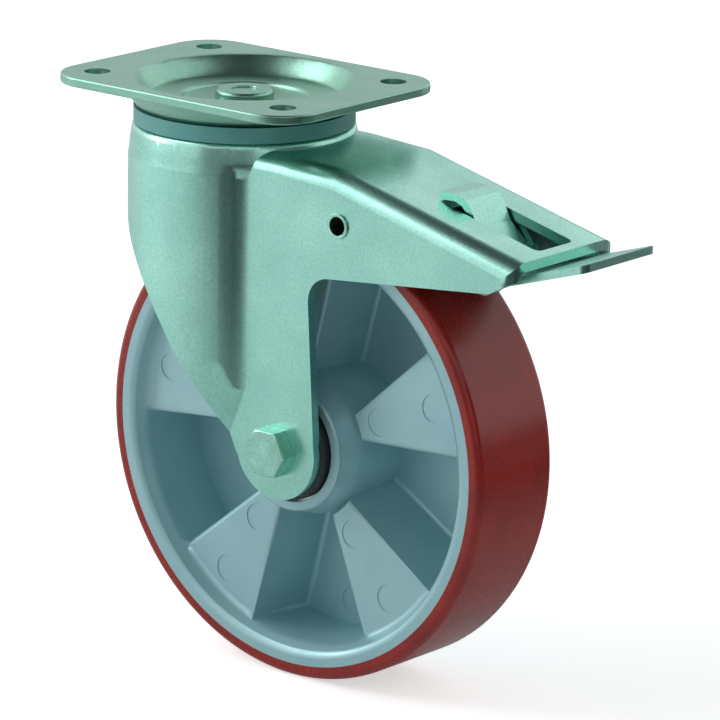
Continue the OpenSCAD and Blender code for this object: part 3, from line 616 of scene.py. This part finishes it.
class CASTOR_OT_wheel(bpy.types.Operator):
    """Gives the cast wheel centre its soft edges and moulds the tread on it"""

    bl_idname = "castor.wheel"
    bl_label = "Wheel and tread"

    def execute(self, context):
        sizes = context.scene.castor_sizes
        low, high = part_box("tread")
        centre = (low + high) / 2

        def cast(middle, bend, length):
            reach = math.hypot(middle.x - centre.x / MM, middle.z - centre.z / MM)
            if abs(bend) < CAST_BEND or length < CAST_LENGTH or not CAST_REACH[0] < reach < CAST_REACH[1]:
                return False
            return not (middle.y > FAR_SIDE and reach > FAR_RIM)

        made = copy_of("wheel_centre", "wheel_casting")
        round_edges(made, sizes.cast_fillet, cast, clamp=False)
        smooth(made, CRISP_CAST)
        stand_for(made, "wheel_centre", "die_cast_aluminium")

        # Half of the tyre's outline, in millimetres: its inner edge and the rounded rim
        outer = (high.x - low.x) / 2 / MM
        half = high.y / MM
        inner = (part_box("wheel_centre")[1].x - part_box("wheel_centre")[0].x) / 2 / MM
        edge = sizes.tread_edge / MM
        turns = [math.radians(degrees) for degrees in range(0, 91, 9)]
        rim = [(outer - edge + edge * math.sin(a), half - edge + edge * math.cos(a)) for a in turns]
        outline = [(inner, half), *rim, *[(r, -y) for r, y in reversed(rim)], (inner, -half)]
        tyre = lathe("tread_tyre", outline, centre, sizes.lathe_steps)
        smooth(tyre, CRISP_TREAD)
        stand_for(tyre, "tread", "cast_polyurethane")
        return {"FINISHED"}


class CASTOR_OT_fasteners(bpy.types.Operator):
    """Breaks the edges of bolt, nut, washer, rivets, kingpin, seal and thread guards"""

    bl_idname = "castor.fasteners"
    bl_label = "Bolts, rivets and rings"

    def execute(self, context):
        width = context.scene.castor_sizes.turned_edge

        def broken(middle, bend, length):
            return bend > TURNED_BEND

        for node, name, finish, slot in (
            ("axle_bolt", "hex_bolt", "zinc_plated_fastener", "zinc"),
            ("axle_nut", "lock_nut", "zinc_plated_fastener", "zinc"),
            ("axle_washer", "flat_washer", "zinc_plated_fastener", "zinc"),
            ("pivot_rivets", "hollow_rivets", "zinc_plated_fastener", "zinc"),
            ("kingpin", "kingpin_forging", "zinc_plated_thick_plate", "zinc"),
            ("swivel_seal", "seal_moulding", "moulded_nylon_seal", "seal_plastic"),
            ("thread_guard_near", "guard_disc_near", "moulded_nylon_guard", "guard_plastic"),
            ("thread_guard_far", "guard_disc_far", "moulded_nylon_guard", "guard_plastic"),
        ):
            made = copy_of(node, name)
            round_edges(made, width, broken, segments=2)
            smooth(made, CRISP_SMALL)
            stand_for(made, node, finish)
        return {"FINISHED"}


class CASTOR_OT_inside(bpy.types.Operator):
    """Dresses the pieces inside the head, brake and bearings, and makes the leaf spring"""

    bl_idname = "castor.inside"
    bl_label = "Inner pieces"

    def execute(self, context):
        finishes = {
            "mild_steel": (
                "kingpin_sleeve",
                "lock_ring",
                "brake_arm",
                "pedal_pin",
                "bearing_spacer",
                "axle_tube",
            ),
            "zinc_plated_fastener": ("kingpin_washer", "kingpin_nut"),
            "rivet_brass": ("pad_rivets",),
            "moulded_rubber": ("brake_pad",),
            "ground_bearing_steel": (
                "upper_balls",
                "lower_balls",
                "outer_race_near",
                "outer_race_far",
                "inner_race_near",
                "inner_race_far",
                "bearing_balls_near",
                "bearing_balls_far",
                "bearing_shield_near",
                "bearing_shield_far",
            ),
        }
        for finish, nodes in finishes.items():
            for node in nodes:
                dress(NODES[node], finish)

        # The leaf: a smoothed copy of the CAD's, left where the CAD places it, with its tip under the fork's
        # crown
        leaf = copy_of("return_spring", "leaf_spring")
        smooth(leaf, CRISP_SMALL)
        dress(leaf, "spring_steel")
        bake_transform(leaf)
        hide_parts("return_spring")
        return {"FINISHED"}


def lay_floor(context, colours):
    """A pale floor that the camera sees as white, and that is dark in parts where metal mirrors it."""
    bpy.ops.object.select_all(action="DESELECT")
    bpy.ops.mesh.primitive_plane_add(size=FLOOR_SIDE, location=(0, 0, CAD_BOX[0].z - FLOOR_GAP))
    floor = context.view_layer.objects.active
    floor.name = "studio_floor"
    tree = new_material("studio_floor")
    path = add(tree, "LightPath")
    seen, glossy = path.outputs["Is Camera Ray"], path.outputs["Is Glossy Ray"]
    mirrored = add(tree, "Math", {0: glossy, 1: FLOOR_MIRRORED}, operation="MULTIPLY")
    level = add(tree, "Math", {0: seen, 1: FLOOR_SEEN, 2: mirrored}, operation="MULTIPLY_ADD")
    matt = add(tree, "BsdfDiffuse", {"Color": linear(colours.floor)})
    glow = add(tree, "Emission", {"Color": linear("#FFFFFF"), "Strength": level})
    lit = add(tree, "AddShader", {0: matt, 1: glow})

    place = add(tree, "TexCoord").outputs["Object"]
    front, back = (
        add(
            tree,
            "VectorMath",
            {0: place, 1: (math.cos(math.radians(bearing)), math.sin(math.radians(bearing)), 0)},
            operation="DOT_PRODUCT",
        ).outputs["Value"]
        for bearing in (DARK_FRONT, DARK_BACK)
    )
    remaining = add(tree, "Math", {0: DARK_BACK_END, 1: back}, operation="SUBTRACT")
    band = add(tree, "Math", {0: back, 1: remaining}, operation="MINIMUM")
    before, behind = (
        add(tree, "MapRange", {"Value": along, "From Min": edge[0], "From Max": edge[1]})
        for along, edge in ((front, DARK_FRONT_EDGE), (band, DARK_BACK_EDGE))
    )
    shade = add(tree, "Math", {0: before, 1: behind}, operation="MAXIMUM")
    dim = add(tree, "Math", {0: glossy, 1: shade}, operation="MULTIPLY")
    dark = add(tree, "Emission", {"Color": linear(colours.card), "Strength": FLOOR_DARK})
    mixed = add(tree, "MixShader", {0: dim, 1: lit, 2: dark})
    add(tree, "OutputMaterial", {"Surface": mixed})
    dress(floor, "studio_floor")


def light_world(context, tint, level):
    """Soft light from all round, white to the camera and in what metal mirrors."""
    world = bpy.data.worlds.new("studio_world")
    context.scene.world = world
    world.use_nodes = True
    tree = world.node_tree
    tree.nodes.clear()
    path = add(tree, "LightPath").outputs
    seen = add(tree, "Math", {0: path["Is Camera Ray"], 1: path["Is Glossy Ray"]}, operation="MAXIMUM")
    shown = add(tree, "Math", {0: seen, 1: path["Is Transmission Ray"]}, operation="MAXIMUM")
    soft = add(tree, "Background", {"Color": linear(tint), "Strength": level})
    white = add(tree, "Background", {"Color": linear("#FFFFFF"), "Strength": 1.0})
    mixed = add(tree, "MixShader", {0: shown, 1: soft, 2: white})
    add(tree, "OutputWorld", {"Surface": mixed})


def stage_card(name, tint, place, turn, size, level):
    """A flat card of even brightness that only mirrors and bounces, outside the picture."""
    bpy.ops.object.select_all(action="DESELECT")
    bpy.ops.mesh.primitive_plane_add(size=1)
    card = bpy.context.view_layer.objects.active
    card.name = name
    card.scale = (*size, 1)
    card.location = place
    card.rotation_euler = turn
    tree = new_material(name)
    glow = add(tree, "Emission", {"Color": linear(tint), "Strength": level})
    add(tree, "OutputMaterial", {"Surface": glow})
    dress(card, name)
    card.visible_camera = False


def hang_lamp(context, name, place, size, power):
    """A rectangular lamp that points at the castor."""
    data = bpy.data.lights.new(name, "AREA")
    data.shape = "RECTANGLE"
    data.size, data.size_y = size
    data.energy = power
    lamp = bpy.data.objects.new(name, data)
    lamp.location = place
    lamp.rotation_euler = (AIM - Vector(place)).to_track_quat("-Z", "Y").to_euler()
    context.scene.collection.objects.link(lamp)


def set_camera(context, view):
    """The camera that took the photograph."""
    yaw, pitch, roll = view.yaw, view.pitch, view.roll
    ahead = Vector((-math.sin(yaw) * math.cos(pitch), math.cos(yaw) * math.cos(pitch), -math.sin(pitch)))
    right = Vector((math.cos(yaw), math.sin(yaw), 0))
    up = right.cross(ahead)
    right_rolled = right * math.cos(roll) + up * math.sin(roll)
    up_rolled = up * math.cos(roll) - right * math.sin(roll)
    data = bpy.data.cameras.new("photo_camera")
    data.lens = view.lens
    data.sensor_width = SENSOR
    data.clip_start, data.clip_end = CLIP
    camera = bpy.data.objects.new("photo_camera", data)
    turn = Matrix((right_rolled, up_rolled, -ahead)).transposed().to_4x4()
    camera.matrix_world = Matrix.Translation(Vector(view.camera_place)) @ turn
    context.scene.collection.objects.link(camera)
    context.scene.camera = camera


class CASTOR_OT_stage(bpy.types.Operator):
    """Sets the floor, the light from all round, the cards, the lamps and the camera"""

    bl_idname = "castor.stage"
    bl_label = "Stage"

    def execute(self, context):
        colours, view = context.scene.castor_colours, context.scene.castor_view
        lay_floor(context, colours)
        light_world(context, colours.sky, view.soft_light)

        # Grey cards outside the picture give the bright metal something dark to mirror
        for name, bearing, rise, distance, size, level in CARDS:
            ahead = Vector((math.cos(math.radians(rise)), 0, math.sin(math.radians(rise))))
            ahead.rotate(Euler((0, 0, math.radians(bearing))))
            turn = (-ahead).to_track_quat("Z", "Y").to_euler()
            stage_card(name, colours.card, AIM + ahead * distance, turn, size, level)

        hang_lamp(context, "left_lamp", *LEFT_LAMP, view.key_power)
        hang_lamp(context, "top_lamp", *TOP_LAMP, view.top_power)
        set_camera(context, view)
        context.scene.view_settings.view_transform = "Standard"
        return {"FINISHED"}


class CASTOR_PT_panel(bpy.types.Panel):
    """Lists the castor's pieces"""

    bl_idname = "CASTOR_PT_panel"
    bl_label = "Swivel castor"
    bl_space_type = "VIEW_3D"
    bl_region_type = "UI"
    bl_category = "Castor"

    def draw(self, context):
        for operator in OPERATORS:
            self.layout.operator(operator.bl_idname)


OPERATORS = (
    CASTOR_OT_materials,
    CASTOR_OT_pressings,
    CASTOR_OT_wheel,
    CASTOR_OT_fasteners,
    CASTOR_OT_inside,
    CASTOR_OT_stage,
)
CLASSES = (CastorSizes, CastorColours, CastorView, *OPERATORS, CASTOR_PT_panel)


def register():
    for each in CLASSES:
        bpy.utils.register_class(each)
    bpy.types.Scene.castor_sizes = PointerProperty(type=CastorSizes)
    bpy.types.Scene.castor_colours = PointerProperty(type=CastorColours)
    bpy.types.Scene.castor_view = PointerProperty(type=CastorView)


def unregister():
    del bpy.types.Scene.castor_view
    del bpy.types.Scene.castor_colours
    del bpy.types.Scene.castor_sizes
    for each in reversed(CLASSES):
        bpy.utils.unregister_class(each)


def main():
    register()
    bpy.ops.castor.materials()
    bpy.ops.castor.pressings()
    bpy.ops.castor.wheel()
    bpy.ops.castor.fasteners()
    bpy.ops.castor.inside()
    bpy.ops.castor.stage()


if __name__ == "__main__":
    main()
